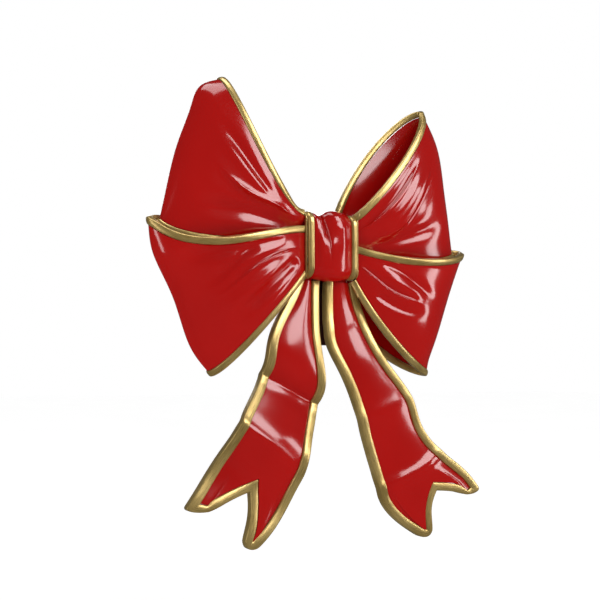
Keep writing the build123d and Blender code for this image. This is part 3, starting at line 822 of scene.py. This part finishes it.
def build_knot():
    a, b = np.meshgrid(np.linspace(0, 1, BAND_STEPS), np.linspace(-1, 1, BAND_ROWS), indexing="ij")
    b = b * BAND_HALF_WIDTH
    outside = band_place(a, b)
    for _ in range(BAND_ROUNDING):
        outside[1:-1] = (outside[:-2] + 2 * outside[1:-1] + outside[2:]) / 4
    along = np.gradient(outside, axis=0)
    across = np.gradient(outside, axis=1)
    normal = unit(np.cross(across, along))
    normal *= np.sign(np.sum(normal * (outside - KNOT_INSIDE), -1, keepdims=True))
    raised = fold_heights(band_place, a, b, BAND_FOLDS)
    calm = smooth((BAND_HALF_WIDTH - np.abs(b)) / BAND_CALM)
    outer = outside + normal * (raised * calm)[..., None]
    under = np.minimum(raised * calm - BAND_THINNEST, BAND_CLEAR - BAND_WALL)
    inner = outside + normal * under[..., None]
    points, faces, uvs = closed_sheet(outer, inner, False)
    faces = outward(faces, points)
    piece = new_piece("knot_wrap", points, faces, uvs, LACQUER)
    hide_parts("knot_band")
    for word, side in (("left", -1), ("right", 1)):
        build_knot_rim(word, side)
        build_piping(word, side)


def ring_about(route, x, wide, thick, radius, crown):
    """Rings of a bar of the given section that follows a route round the knot."""
    run = unit(np.gradient(route, axis=0))
    out = np.stack([run[:, 1], -run[:, 0]], 1)
    centre = route.mean(0)
    out *= np.sign(np.sum(out * (route - centre), axis=1, keepdims=True))
    section = round_section(wide, thick, radius, crown)
    flat = route[:, None] + out[:, None] * (section[None, :, 1:] - thick / 2)
    rings = np.empty(flat.shape[:2] + (3,))
    rings[..., 0] = x + section[None, :, 0]
    rings[..., 1] = -flat[..., 0]
    rings[..., 2] = flat[..., 1]
    return rings


def build_knot_rim(word, side):
    low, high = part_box(f"knot_{word}_rim")
    route = band_route(BAND_RIM_PROUD, np.linspace(0, 1, BAND_STEPS))
    for _ in range(BAND_ROUNDING):
        route[1:-1] = (route[:-2] + 2 * route[1:-1] + route[2:]) / 4
    rings = ring_about(route, low.x / MM, (high.x - low.x) / MM, BAND_WALL + 1.4, 2.8, 0.4)
    points, faces, uvs = swept_bar(rings)
    faces = outward(faces, points)
    piece = new_piece(f"knot_{word}_rim_gold", points, faces, uvs, GOLD)
    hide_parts(f"knot_{word}_rim")


def build_piping(word, side):
    """Fine gold line round the core where the loops' roots end."""
    low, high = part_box("core_block")
    front = -low.y / MM + PIPING_TALL
    top = high.z / MM + PIPING_TALL
    bottom = low.z / MM - PIPING_TALL
    corners = front_route(PIPING_START, front, top, bottom, PIPING_END, PIPING_CORNER)
    route = along_route(corners, np.linspace(0, 1, PIPING_STEPS))
    outer_edge = LOOP_ROOT - PIPING_GAP
    x = outer_edge - PIPING_WIDE if side > 0 else -outer_edge
    rings = ring_about(route, x, PIPING_WIDE, PIPING_TALL, 0.7, 0.0)
    points, faces, uvs = swept_bar(rings)
    new_piece(f"{word}_piping", points, outward(faces, points), uvs, GOLD)


# ---- pieces kept from the CAD model ----
def finish_cad_nodes():
    finishes = {
        # the core's darker red is painted shade for the crevices it shows in
        "core_block": CORE_PAINT_SHADED,
        "mounting_batten": BATTEN_PAINT,
        "core_screws": STEEL,
        "tail_screws": STEEL,
        "fixing_inserts": BRASS,
    }
    for node, material in finishes.items():
        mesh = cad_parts[node].data
        for k in range(len(mesh.materials)):
            mesh.materials[k] = material
        if not mesh.materials:
            mesh.materials.append(material)


# ---- stage, light and camera ----
def build_floor():
    """Pale floor well below the bow, which hangs on a wall."""
    size = FLOOR_HALF
    height = cad_low.z - FLOOR_DROP
    mesh = bpy.data.meshes.new("floor")
    corners = [(x * size, y * size, height) for x, y in ((-1, -1), (1, -1), (1, 1), (-1, 1))]
    mesh.from_pydata(corners, [], [(0, 1, 2, 3)])
    floor = bpy.data.objects.new("floor", mesh)
    bpy.context.scene.collection.objects.link(floor)
    material, tree, shader = new_material("floor_paint")
    tone = noise(tree, "Object", 2.0, 2.0)
    colour = ramp(tree, tone, [(0.3, (0.90, 0.90, 0.90)), (0.7, (0.93, 0.93, 0.93))])
    tree.links.new(colour, shader.inputs["Base Color"])
    shader.inputs["Roughness"].default_value = 0.9
    shader.inputs["Specular IOR Level"].default_value = 0.1
    shader.inputs["Emission Color"].default_value = (1, 1, 1, 1)
    shader.inputs["Emission Strength"].default_value = 0.45
    mesh.materials.append(material)
    floor.visible_glossy = False


def build_world():
    """White surroundings: bright to the camera, even for soft light, dim in reflections."""
    world = bpy.data.worlds.new("studio")
    bpy.context.scene.world = world
    world.use_nodes = True
    tree = world.node_tree
    tree.nodes.clear()
    output = tree.nodes.new("ShaderNodeOutputWorld")
    path = tree.nodes.new("ShaderNodeLightPath")
    strengths = {"soft": 0.62, "mirror": 0.06, "seen": 1.0}
    shades = {}
    for name, strength in strengths.items():
        shades[name] = tree.nodes.new("ShaderNodeBackground")
        shades[name].inputs["Color"].default_value = (1, 1, 1, 1)
        shades[name].inputs["Strength"].default_value = strength
    first = tree.nodes.new("ShaderNodeMixShader")
    tree.links.new(path.outputs["Is Glossy Ray"], first.inputs["Fac"])
    tree.links.new(shades["soft"].outputs["Background"], first.inputs[1])
    tree.links.new(shades["mirror"].outputs["Background"], first.inputs[2])
    second = tree.nodes.new("ShaderNodeMixShader")
    tree.links.new(path.outputs["Is Camera Ray"], second.inputs["Fac"])
    tree.links.new(first.outputs["Shader"], second.inputs[1])
    tree.links.new(shades["seen"].outputs["Background"], second.inputs[2])
    tree.links.new(second.outputs["Shader"], output.inputs["Surface"])


def add_softbox(name, direction, distance, size, radiance, soft):
    """Rectangular light aimed at the bow. Soft ones light it; the others only mirror in it."""
    centre = (cad_low + cad_high) / 2
    light = bpy.data.lights.new(name, "AREA")
    light.shape = "RECTANGLE"
    light.size, light.size_y = size
    light.energy = radiance * math.pi * size[0] * size[1]
    lamp = bpy.data.objects.new(name, light)
    bpy.context.scene.collection.objects.link(lamp)
    place = centre + Vector(direction).normalized() * distance
    lamp.location = place
    lamp.rotation_euler = (centre - place).to_track_quat("-Z", "Y").to_euler()
    lamp.visible_diffuse = soft
    lamp.visible_glossy = not soft
    lamp.visible_camera = False


def build_lights():
    add_softbox("key", (0.485, -0.69, 0.53), 1.8, (0.85, 0.95), 9.0, False)
    add_softbox("key_soft", (0.2, -0.8, 0.6), 2.4, (1.6, 1.6), 1.75, True)
    add_softbox("right_strip", (0.845, -0.53, 0.09), 1.8, (0.35, 0.9), 8.0, False)
    add_softbox("left_strip", (-0.97, -0.22, 0.09), 1.8, (0.25, 1.0), 7.0, False)
    add_softbox("overhead", (-0.2, -0.1, 1.0), 1.8, (1.2, 0.8), 5.0, False)
    add_softbox("rear", (0.3, 0.9, 0.45), 2.2, (1.4, 0.9), 4.0, False)


def build_camera():
    flat = math.cos(CAMERA_RISE)
    toward = Vector((math.sin(CAMERA_AZIMUTH) * flat, math.cos(CAMERA_AZIMUTH) * flat,
                     math.sin(CAMERA_RISE)))
    data = bpy.data.cameras.new("camera")
    data.lens = 52.2
    data.sensor_width = 36.0
    camera = bpy.data.objects.new("camera", data)
    bpy.context.scene.collection.objects.link(camera)
    camera.location = CAMERA_PLACE
    camera.rotation_euler = toward.to_track_quat("-Z", "Y").to_euler()
    bpy.context.scene.camera = camera


bpy.context.scene.view_settings.view_transform = "Standard"
build_camera()
for loop_name, loop_shape in LOOPS.items():
    build_loop(loop_name, loop_shape)
build_tail("left_tail", LEFT_TAIL)
build_tail("right_tail", RIGHT_TAIL)
build_knot()
finish_cad_nodes()
build_floor()
build_world()
build_lights()
